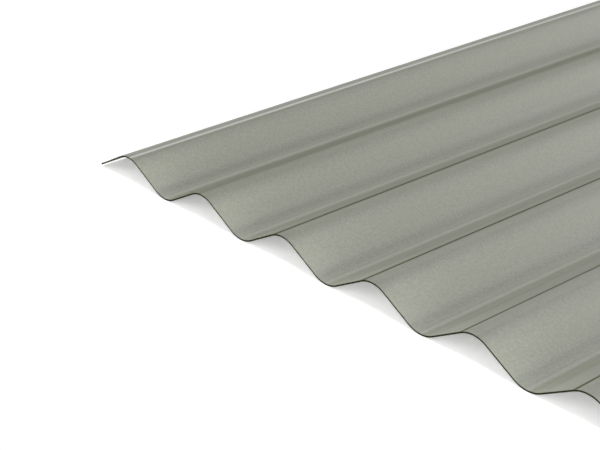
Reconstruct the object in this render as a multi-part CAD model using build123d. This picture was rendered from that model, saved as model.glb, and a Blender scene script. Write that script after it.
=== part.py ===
from build123d import *

import os
from math import asin, atan2, cos, degrees, hypot, sin, tan

# Corrugated metal roofing sheet, lying flat with its crests up. Sizes are in millimetres.
# The waves are arcs joined by tangent flats. They run along Y and follow each other along X.
# The origin is on the floor, under the middle of the sheet.

# Driving sizes
pitch = 76.2           # from one crest to the next
depth = 16.0           # rise from trough to crest, at the middle of the steel
bend_radius = 18.5     # of every crest and trough, at the middle of the steel
thickness = 1.0        # painted steel
width = 850.0          # across the waves, over the middle of the steel at both side edges
length = 1800.0        # along the waves
edge_to_crest = 31.5   # from the left side edge to the first crest, across the waves

# The flat between two bends is the common tangent of their arcs
half_pitch = pitch / 2
centres_rise = 2 * bend_radius - depth
centres_apart = hypot(half_pitch, centres_rise)
flat_angle = asin(2 * bend_radius / centres_apart) - atan2(centres_rise, half_pitch)
bend_reach = bend_radius * sin(flat_angle)   # from a bend line to the start of its flat

# Places across the sheet and above the floor
left_edge = -width / 2
right_edge = width / 2
first_crest = left_edge + edge_to_crest
middle_height = (depth + thickness) / 2
rounding = 6           # decimals kept where two places may coincide


def nearest_bend(x):
    """Number of the bend nearest to a place across the sheet: even ones are crests."""
    return round((x - first_crest) / half_pitch)


def bend_line(number):
    """Place across the sheet of a crest or trough line."""
    return first_crest + number * half_pitch


def middle_of_steel(x):
    """Height and slope, in radians, of the middle of the steel at a place across the sheet."""
    number = nearest_bend(x)
    up = -1 if number % 2 else 1
    run = x - bend_line(number)
    if abs(run) <= bend_reach:
        turn = asin(run / bend_radius)
        drop = bend_radius * (1 - cos(turn))
        return middle_height + up * (depth / 2 - drop), -up * turn
    turn = flat_angle if run > 0 else -flat_angle
    rise = (half_pitch / 2 - abs(run)) * tan(flat_angle)
    return middle_height + up * rise, -up * turn


def on_face(x, offset):
    """Point of the section that lies square to the middle of the steel, an offset above it."""
    height, slope = middle_of_steel(x)
    return x - offset * sin(slope), height + offset * cos(slope)


def section_breaks():
    """Places where the section starts, ends, crests, bottoms out or turns from arc to flat."""
    numbers = range(nearest_bend(left_edge) - 1, nearest_bend(right_edge) + 2)
    steps = (-bend_reach, 0, bend_reach)
    places = (round(bend_line(number) + step, rounding) for number in numbers for step in steps)
    inside = {x for x in places if left_edge < x < right_edge}
    return sorted(inside | {left_edge, right_edge})


def face_line(offset):
    """One face of the sheet in section, from side edge to side edge."""
    edges = []
    breaks = section_breaks()
    for start, end in zip(breaks, breaks[1:]):
        between = (start + end) / 2
        from_bend = abs(between - bend_line(nearest_bend(between)))
        ends = on_face(start, offset), on_face(end, offset)
        if from_bend < bend_reach:
            edges.append(ThreePointArc(ends[0], on_face(between, offset), ends[1]))
        else:
            edges.append(Line(*ends))
    return edges


def side_edge(x):
    """The square-cut side edge of the sheet in section."""
    return Line(on_face(x, -thickness / 2), on_face(x, thickness / 2))


def corrugated_sheet():
    """The sheet: its section between the two side edges, drawn out along the waves."""
    faces = face_line(thickness / 2) + face_line(-thickness / 2)
    section = Face(Wire([*faces, side_edge(left_edge), side_edge(right_edge)]))
    near_end = Plane.XZ.offset(length / 2)
    return extrude(near_end * section, amount=length, dir=(0, 1, 0), clean=False)


os.makedirs("parts", exist_ok=True)
sheet = corrugated_sheet()
sheet.label = "corrugated_sheet"
export_step(sheet, "parts/corrugated_sheet.step")

print(f"flats slope {degrees(flat_angle):.2f} degrees, {sheet.volume / 1e3:.1f} cubic centimetres")
print(sheet.bounding_box())
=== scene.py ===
from math import asin, atan2, cos, hypot, radians, sin, tan

import bpy
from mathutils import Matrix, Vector


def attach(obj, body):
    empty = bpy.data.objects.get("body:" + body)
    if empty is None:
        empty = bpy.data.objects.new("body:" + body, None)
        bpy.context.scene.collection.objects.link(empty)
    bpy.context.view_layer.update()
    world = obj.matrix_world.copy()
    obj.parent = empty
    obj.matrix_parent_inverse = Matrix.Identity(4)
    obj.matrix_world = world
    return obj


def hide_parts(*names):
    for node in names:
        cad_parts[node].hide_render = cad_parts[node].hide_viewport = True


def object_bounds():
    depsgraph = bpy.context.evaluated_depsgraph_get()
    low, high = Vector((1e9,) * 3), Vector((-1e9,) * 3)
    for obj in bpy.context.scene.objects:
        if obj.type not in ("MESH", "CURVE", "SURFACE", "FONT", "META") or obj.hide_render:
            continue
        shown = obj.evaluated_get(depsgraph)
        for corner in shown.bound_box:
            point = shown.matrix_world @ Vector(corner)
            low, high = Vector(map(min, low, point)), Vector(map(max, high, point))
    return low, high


# Corrugated metal sheet, painted, lying flat on a white floor with its crests up. Sizes are in metres.
# The waves run along Y and follow each other along X, as in the solid that the sheet here stands for.

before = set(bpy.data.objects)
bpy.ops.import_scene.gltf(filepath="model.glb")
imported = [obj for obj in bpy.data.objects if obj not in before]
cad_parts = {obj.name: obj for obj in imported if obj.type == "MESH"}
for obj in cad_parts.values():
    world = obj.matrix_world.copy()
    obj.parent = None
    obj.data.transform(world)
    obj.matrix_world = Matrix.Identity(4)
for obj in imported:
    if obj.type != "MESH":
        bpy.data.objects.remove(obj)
solid_low, solid_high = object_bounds()
NODE = "corrugated_sheet"
MM = 0.001

# The rolled section, at the middle of the steel
PITCH = 76.2 * MM
DEPTH = 16.0 * MM
BEND_RADIUS = 18.5 * MM
THICKNESS = 1.0 * MM
WIDTH = 850.0 * MM
EDGE_TO_CREST = 31.5 * MM

HALF_PITCH = PITCH / 2
CENTRES_RISE = 2 * BEND_RADIUS - DEPTH
FLAT_ANGLE = asin(2 * BEND_RADIUS / hypot(HALF_PITCH, CENTRES_RISE)) - atan2(CENTRES_RISE, HALF_PITCH)
BEND_REACH = BEND_RADIUS * sin(FLAT_ANGLE)
LEFT_EDGE = -WIDTH / 2
FIRST_CREST = LEFT_EDGE + EDGE_TO_CREST
MIDDLE_HEIGHT = (DEPTH + THICKNESS) / 2

# How finely the mesh follows a bend, a flat and the length
BEND_STEPS = 24
FLAT_STEPS = 3
LENGTH_STEPS = 36

# Material slots of the sheet, and the turn past which an edge of it shows as sharp
TOP, UNDERSIDE, CUT_EDGE = range(3)
SHARP_TURN = radians(40)


# Shape

def nearest_bend(x):
    """Number of the bend nearest to a place across the sheet: even ones are crests."""
    return round((x - FIRST_CREST) / HALF_PITCH)


def bend_line(number):
    """Place across the sheet of a crest or trough line."""
    return FIRST_CREST + number * HALF_PITCH


def middle_of_steel(x):
    """Height and slope, in radians, of the middle of the steel at a place across the sheet."""
    number = nearest_bend(x)
    up = -1 if number % 2 else 1
    run = x - bend_line(number)
    if abs(run) <= BEND_REACH:
        turn = asin(run / BEND_RADIUS)
        drop = BEND_RADIUS * (1 - cos(turn))
        return MIDDLE_HEIGHT + up * (DEPTH / 2 - drop), -up * turn
    turn = FLAT_ANGLE if run > 0 else -FLAT_ANGLE
    rise = (HALF_PITCH / 2 - abs(run)) * tan(FLAT_ANGLE)
    return MIDDLE_HEIGHT + up * rise, -up * turn


def places_across():
    """Places across the sheet where the mesh has a line of points, from side edge to side edge."""
    places = {LEFT_EDGE, -LEFT_EDGE}
    flat = HALF_PITCH - 2 * BEND_REACH
    for number in range(nearest_bend(LEFT_EDGE) - 1, nearest_bend(-LEFT_EDGE) + 2):
        bend = bend_line(number)
        for step in range(BEND_STEPS + 1):
            turn = FLAT_ANGLE * (2 * step / BEND_STEPS - 1)
            places.add(bend + BEND_RADIUS * sin(turn))
        for step in range(1, FLAT_STEPS):
            places.add(bend + BEND_REACH + flat * step / FLAT_STEPS)
    return sorted(x for x in places if LEFT_EDGE <= x <= -LEFT_EDGE)


def section(offset):
    """Points of one face of the sheet in section, an offset above the middle of the steel."""
    points = []
    for x in places_across():
        height, slope = middle_of_steel(x)
        points.append((x - offset * sin(slope), height + offset * cos(slope)))
    return points


def sheet_mesh():
    """The sheet: its top, its underside and the cut edge all round."""
    top, under = section(THICKNESS / 2), section(-THICKNESS / 2)
    near, far = solid_low.y, solid_high.y
    rows = [near + (far - near) * step / LENGTH_STEPS for step in range(LENGTH_STEPS + 1)]
    columns = len(top)
    below = columns * len(rows)
    points = [(x, y, z) for face in (top, under) for y in rows for x, z in face]
    faces, slots = [], []

    def at(row, column, face=0):
        return face + row * columns + column

    def add(corners, slot, turned=False):
        faces.append(corners[::-1] if turned else corners)
        slots.append(slot)

    for row in range(LENGTH_STEPS):
        for column in range(columns - 1):
            corners = [at(row, column), at(row, column + 1), at(row + 1, column + 1), at(row + 1, column)]
            add(corners, TOP)
            add([below + corner for corner in corners], UNDERSIDE, turned=True)
        for column, turned in ((0, False), (columns - 1, True)):
            ahead = row + 1
            side = [at(row, column), at(ahead, column), at(ahead, column, below), at(row, column, below)]
            add(side, CUT_EDGE, turned)
    for column in range(columns - 1):
        for row, turned in ((0, False), (LENGTH_STEPS, True)):
            end = [at(row, column, below), at(row, column + 1, below), at(row, column + 1), at(row, column)]
            add(end, CUT_EDGE, turned)
    mesh = bpy.data.meshes.new("painted_sheet")
    mesh.from_pydata(points, [], faces)
    mesh.polygons.foreach_set("material_index", slots)
    mesh.shade_smooth()
    mesh.set_sharp_from_angle(angle=SHARP_TURN)
    mesh.update()
    return mesh


# Materials

class Graph:
    """The nodes of a material or of the world, with short ways to add to them."""

    def __init__(self, owner):
        owner.use_nodes = True
        self.owner = owner
        self.tree = owner.node_tree

    def node(self, kind, sockets=(), **settings):
        """A new node. Sockets pairs each input's name or number with a value, or with what feeds it."""
        made = self.tree.nodes.new(kind)
        for name, value in settings.items():
            setattr(made, name, value)
        for name, value in dict(sockets).items():
            self.feed(made.inputs[name], value)
        return made

    def feed(self, socket, value):
        """Gives a socket its value, or links it to what feeds it."""
        if isinstance(value, bpy.types.NodeSocket):
            self.tree.links.new(value, socket)
        else:
            socket.default_value = value

    def math(self, operation, *values):
        """The result of an operation on numbers."""
        return self.node("ShaderNodeMath", enumerate(values), operation=operation).outputs[0]

    def vector(self, operation, *values):
        """The result of an operation on vectors, such as places and colours."""
        return self.node("ShaderNodeVectorMath", enumerate(values), operation=operation).outputs[0]

    def place(self):
        """The place on the object, in metres."""
        return self.node("ShaderNodeTexCoord").outputs["Object"]

    def stretched(self, vector, x=1.0, y=1.0, z=1.0):
        """A place scaled along an axis. A scale below 1 draws a texture out along it."""
        return self.vector("MULTIPLY", vector, (x, y, z))

    def noise(self, vector, size, detail=2.0):
        """Soft noise about 0, from about -0.5 to 0.5, with features of about the given size."""
        made = self.node("ShaderNodeTexNoise", {"Vector": vector, "Scale": 1 / size, "Detail": detail})
        return self.math("SUBTRACT", made.outputs[0], 0.5)

    def band(self, across, line, reach, soft):
        """1 within reach of a line and 0 beyond it, over a soft edge."""
        away = self.math("ABSOLUTE", self.math("SUBTRACT", across, line))
        sockets = {"Value": away, "From Min": reach + soft / 2, "From Max": reach - soft / 2}
        return self.node("ShaderNodeMapRange", sockets, interpolation_type="SMOOTHSTEP").outputs[0]

    def total(self, *values):
        """The sum of all values."""
        result = values[0]
        for value in values[1:]:
            result = self.math("ADD", result, value)
        return result

    def varied(self, middle, *parts):
        """A level that moves about its middle with each part, a pair of a noise and its weight."""
        return self.total(*(self.math("MULTIPLY", noise, weight) for noise, weight in parts), middle)

    def finish(self, surface, colour, level, roughness, height, relief, depth):
        """Feeds a surface its colour times a level, its roughness and its fine relief."""
        self.feed(surface.inputs["Base Color"], self.vector("MULTIPLY", level, colour))
        self.feed(surface.inputs["Roughness"], roughness)
        bump = self.node("ShaderNodeBump", {"Height": height, "Strength": relief, "Distance": depth})
        self.feed(surface.inputs["Normal"], bump.outputs[0])


def principled(name, roughness, **uniform):
    """A new material's graph and its surface shader, with the settings that are the same all over it."""
    graph = Graph(bpy.data.materials.new(name))
    surface = graph.tree.nodes["Principled BSDF"]
    surface.inputs["Roughness"].default_value = roughness
    for socket, value in uniform.items():
        surface.inputs[socket.replace("_", " ")].default_value = value
    return graph, surface


# Painted light and shade along the sheet, as shares by which they lighten or darken the paint: bands of
# painted shade, light, highlights and reflections on the waves.
# Every wave has them. Each row holds the place of a band's middle past its crest line, its half width, the
# width of its soft edge, and its change of red and of blue.
PAINTED_WAVE_SHADING = [
    (7.0 * MM, 2.5 * MM, 5.0 * MM, -0.03, -0.01),       # painted shade at the end of the crest's bend
    (16.0 * MM, 5.0 * MM, 9.0 * MM, 0.04, 0.03),        # painted light on the flat that falls to the trough
    (31.0 * MM, 2.4 * MM, 6.0 * MM, -0.165, -0.14),     # painted shade at the start of the trough's bend
    (34.8 * MM, 0.5 * MM, 1.0 * MM, 0.06, 0.08),        # fine painted reflection line in it
    (38.4 * MM, 1.3 * MM, 1.2 * MM, 0.24, 0.31),        # painted reflection at the bottom of the trough
    (42.2 * MM, 1.0 * MM, 1.6 * MM, -0.04, -0.05),      # fine painted shade line past it
    (52.0 * MM, 9.0 * MM, 6.0 * MM, 0.0, -0.03),        # flat that rises to the next crest
]
# A wave starts on the flat that rises to its crest, so far before the crest line
WAVE_START = -26.0 * MM
# Painted light and shade that only some crests have: a painted highlight by the first crest, painted shade
# on the second, and dark painted shade lines with lighter painted tops before the later crests. Each row
# starts with the numbers of the first and the last of them, counted from 0, and goes on as above, without a
# change of blue.
PAINTED_CREST_SHADING = [
    (0, 0, -4.0 * MM, 4.5 * MM, 1.5 * MM, 0.18),        # painted reflection on the strip outside the first crest
    (0, 0, 1.5 * MM, 1.1 * MM, 0.8 * MM, 0.95),         # painted highlight line beside it
    (0, 0, 4.5 * MM, 1.2 * MM, 1.0 * MM, -0.05),        # fine line past that
    (1, 1, -21.3 * MM, 12.0 * MM, 2.0 * MM, -0.25),     # painted shade on the flat that rises to the second crest
    (1, 1, -5.4 * MM, 4.2 * MM, 0.6 * MM, -0.225),      # painted shade on the shoulder before it
    (1, 1, 7.5 * MM, 4.0 * MM, 5.0 * MM, -0.06),        # end of its bend
    (1, 1, 45.0 * MM, 2.5 * MM, 2.0 * MM, -0.05),       # end of its trough's bend
    (2, 10, 44.3 * MM, 1.2 * MM, 1.0 * MM, 0.04),       # fine line at the end of the troughs past it
    (2, 2, -6.6 * MM, 1.9 * MM, 0.8 * MM, -0.70),       # dark painted shade line before the third crest
    (2, 2, -2.5 * MM, 2.5 * MM, 3.0 * MM, 0.09),        # its top, lighter with painted light
    (3, 3, -15.5 * MM, 5.0 * MM, 4.0 * MM, 0.14),       # painted light on the flat that rises to the fourth crest
    (3, 3, -7.4 * MM, 1.5 * MM, 0.5 * MM, -0.80),       # dark painted shade line before it
    (3, 3, -2.5 * MM, 4.0 * MM, 2.5 * MM, 0.13),        # its top, lighter with painted light
    (4, 10, -17.5 * MM, 8.0 * MM, 4.0 * MM, 0.13),      # painted light on the flats that rise to all the later crests
    (4, 10, -8.3 * MM, 1.1 * MM, 0.5 * MM, -0.75),      # dark painted shade lines before them
    (4, 10, -2.5 * MM, 4.5 * MM, 2.5 * MM, 0.16),       # their tops, lighter with painted light
]
# Green changes by this share of red in every band of painted light and shade, and blue by this share of it
# in the bands of some crests, which makes the dark painted shade olive
GREEN_SHARE = 0.96
BLUE_SHARE = 1.22


def painted_light_and_shade(graph, across):
    """How much the painted light and shade lighten or darken red, green and blue at a place across the
    sheet.
    """
    past_first = graph.math("SUBTRACT", across, FIRST_CREST)
    past_crest = graph.math("WRAP", past_first, WAVE_START + PITCH, WAVE_START)
    reds, blues = [], []

    def add(painted_band, red, blue):
        reds.append(graph.math("MULTIPLY", painted_band, red))
        blues.append(graph.math("MULTIPLY", painted_band, blue))

    for line, reach, soft, red, blue in PAINTED_WAVE_SHADING:
        add(graph.band(past_crest, line, reach, soft), red, blue)
    for first, last, line, reach, soft, red in PAINTED_CREST_SHADING:
        for number in range(first, last + 1):
            add(graph.band(past_first, number * PITCH + line, reach, soft), red, red * BLUE_SHARE)
    red = graph.total(*reds)
    green = graph.math("MULTIPLY", red, GREEN_SHARE)
    return graph.node("ShaderNodeCombineXYZ", {0: red, 1: green, 2: graph.total(*blues)}).outputs[0]


def paint(colour=(0.297, 0.306, 0.256), roughness=0.42):
    """Grey-green semi-gloss coil coating: fine grained, a little mottled, with painted light and shade
    along the waves.
    """
    graph, surface = principled("grey_green_paint", roughness)
    place = graph.place()
    across = graph.node("ShaderNodeSeparateXYZ", {0: place}).outputs["X"]
    grain = graph.noise(place, size=1.5 * MM, detail=1.0)
    mottle = graph.noise(place, size=28.0 * MM)
    drawn = graph.noise(graph.stretched(place, y=0.02), size=5.0 * MM)
    level = graph.varied(1.0, (grain, 0.44), (mottle, 0.04), (drawn, 0.035))
    # The paint's colour carries painted shade, light, highlights and reflections along the waves here
    shade = graph.vector("ADD", painted_light_and_shade(graph, across), level)
    gloss = graph.varied(roughness, (grain, 0.25), (mottle, 0.15))
    graph.finish(surface, colour, shade, gloss, grain, relief=0.25, depth=0.1 * MM)
    return graph.owner


def backing_coat(colour=(0.34, 0.35, 0.32), roughness=0.55):
    """Thin dull backing coat of the underside, a paler grey-green, with fine streaks along the sheet."""
    graph, surface = principled("backing_coat", roughness)
    place = graph.place()
    streaks = graph.noise(graph.stretched(place, y=0.01), size=2.5 * MM)
    grain = graph.noise(place, size=1.2 * MM, detail=1.0)
    level = graph.varied(1.0, (streaks, 0.15), (grain, 0.3))
    gloss = graph.varied(roughness, (streaks, 0.3))
    graph.finish(surface, colour, level, gloss, grain, relief=0.3, depth=0.1 * MM)
    return graph.owner


def cut_steel(colour=(0.009, 0.011, 0.004), roughness=0.6):
    """Raw cut edge, coloured almost black, with the shear's fine marks across the thickness."""
    graph, surface = principled("cut_edge", roughness, Specular_IOR_Level=0.0)
    place = graph.place()
    shear = graph.noise(graph.stretched(place, z=0.1), size=0.5 * MM)
    stain = graph.noise(place, size=9.0 * MM)
    level = graph.varied(1.0, (shear, 1.2), (stain, 0.8))
    gloss = graph.varied(roughness, (shear, 0.3))
    graph.finish(surface, colour, level, gloss, shear, relief=0.4, depth=0.05 * MM)
    return graph.owner


sheet = bpy.data.objects.new("painted_sheet", sheet_mesh())
bpy.context.scene.collection.objects.link(sheet)
for material in (paint(), backing_coat(), cut_steel()):     # in the order of their slots
    sheet.data.materials.append(material)
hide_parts(NODE)
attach(sheet, "root")


# Floor, light and camera

def seen_white(graph):
    """1 for what shows the background: rays from the camera, in a gloss and through glass."""
    path = graph.node("ShaderNodeLightPath").outputs
    shown = graph.math("MAXIMUM", path["Is Camera Ray"], path["Is Glossy Ray"])
    return graph.math("MAXIMUM", shown, path["Is Transmission Ray"])


def white_floor(reach=12.0, below=0.1 * MM, colour=0.9, glow=0.22):
    """A wide white floor that keeps the sheet's shadow."""
    mesh = bpy.data.meshes.new("floor")
    corners = ((-reach, -reach), (reach, -reach), (reach, reach), (-reach, reach))
    mesh.from_pydata([(x, y, -below) for x, y in corners], [], [range(len(corners))])
    floor = bpy.data.objects.new("floor", mesh)
    bpy.context.scene.collection.objects.link(floor)
    graph = Graph(bpy.data.materials.new("white_floor"))
    graph.tree.nodes.clear()
    matt = graph.node("ShaderNodeBsdfDiffuse", {"Color": (colour, colour, colour, 1)})
    shine = graph.node("ShaderNodeEmission", {"Strength": graph.math("MULTIPLY", seen_white(graph), glow)})
    both = graph.node("ShaderNodeAddShader", {0: matt.outputs[0], 1: shine.outputs[0]})
    graph.node("ShaderNodeOutputMaterial", {"Surface": both.outputs[0]})
    mesh.materials.append(graph.owner)


def studio_room(strength):
    """An even pale room all round."""
    made = bpy.data.worlds.new("studio")
    bpy.context.scene.world = made
    graph = Graph(made)
    graph.tree.nodes.clear()
    room = graph.node("ShaderNodeBackground", {"Color": (1, 1, 1, 1), "Strength": strength})
    graph.node("ShaderNodeOutputWorld", {"Surface": room.outputs[0]})


def hang(name, lamp, place, direction):
    """Puts a lamp in the scene, shining along a direction."""
    holder = bpy.data.objects.new(name, lamp)
    holder.location = place
    holder.rotation_euler = Vector(direction).to_track_quat("-Z", "Y").to_euler()
    holder.visible_camera = False
    bpy.context.scene.collection.objects.link(holder)


def far_softbox(name, azimuth, elevation, strength, spread=35):
    """A wide soft lamp, far off. Angles are in degrees, and azimuth is told from +X towards +Y."""
    lamp = bpy.data.lights.new(name, "SUN")
    lamp.energy = strength
    lamp.angle = radians(spread)
    turn, rise = radians(azimuth), radians(elevation)
    anywhere = (0, 0, 1)   # so far off that only its direction counts
    hang(name, lamp, anywhere, (-cos(rise) * cos(turn), -cos(rise) * sin(turn), -sin(rise)))


def strip_lamp(name, length, height, clear, lift, power):
    """A long low lamp on the floor before the near cut end, shining at it."""
    lamp = bpy.data.lights.new(name, "AREA")
    lamp.shape = "RECTANGLE"
    lamp.size, lamp.size_y = length, height
    lamp.energy = power
    hang(name, lamp, (0, solid_low.y - clear, lift), (0, 1, 0))


def camera(place, tilt, turn, lens, sensor=36.0):
    """The camera of the picture that the sheet was fitted to. Angles are in degrees."""
    made = bpy.data.cameras.new("camera")
    made.sensor_width = sensor
    made.lens = lens
    made.clip_start, made.clip_end = 0.05, 100.0
    holder = bpy.data.objects.new("camera", made)
    holder.location = place
    holder.rotation_euler = (radians(tilt), 0.0, radians(turn))
    bpy.context.scene.collection.objects.link(holder)
    bpy.context.scene.camera = holder


white_floor()
studio_room(strength=0.14)
far_softbox("overhead", azimuth=320, elevation=80, strength=0.6, spread=12)
far_softbox("high_front", azimuth=300, elevation=75, strength=0.5, spread=40)
far_softbox("front", azimuth=270, elevation=45, strength=0.81)
far_softbox("behind", azimuth=90, elevation=45, strength=0.31)
far_softbox("low_behind", azimuth=90, elevation=15, strength=1.49)
far_softbox("low_right", azimuth=0, elevation=15, strength=0.43)
strip_lamp("low_front_strip", length=1.6, height=10.0 * MM, clear=60.0 * MM, lift=8.0 * MM, power=1.1)
camera(place=(0.39437, -1.44546, 0.43538), tilt=63.843, turn=48.634, lens=96.18)
bpy.context.scene.view_settings.view_transform = "Standard"
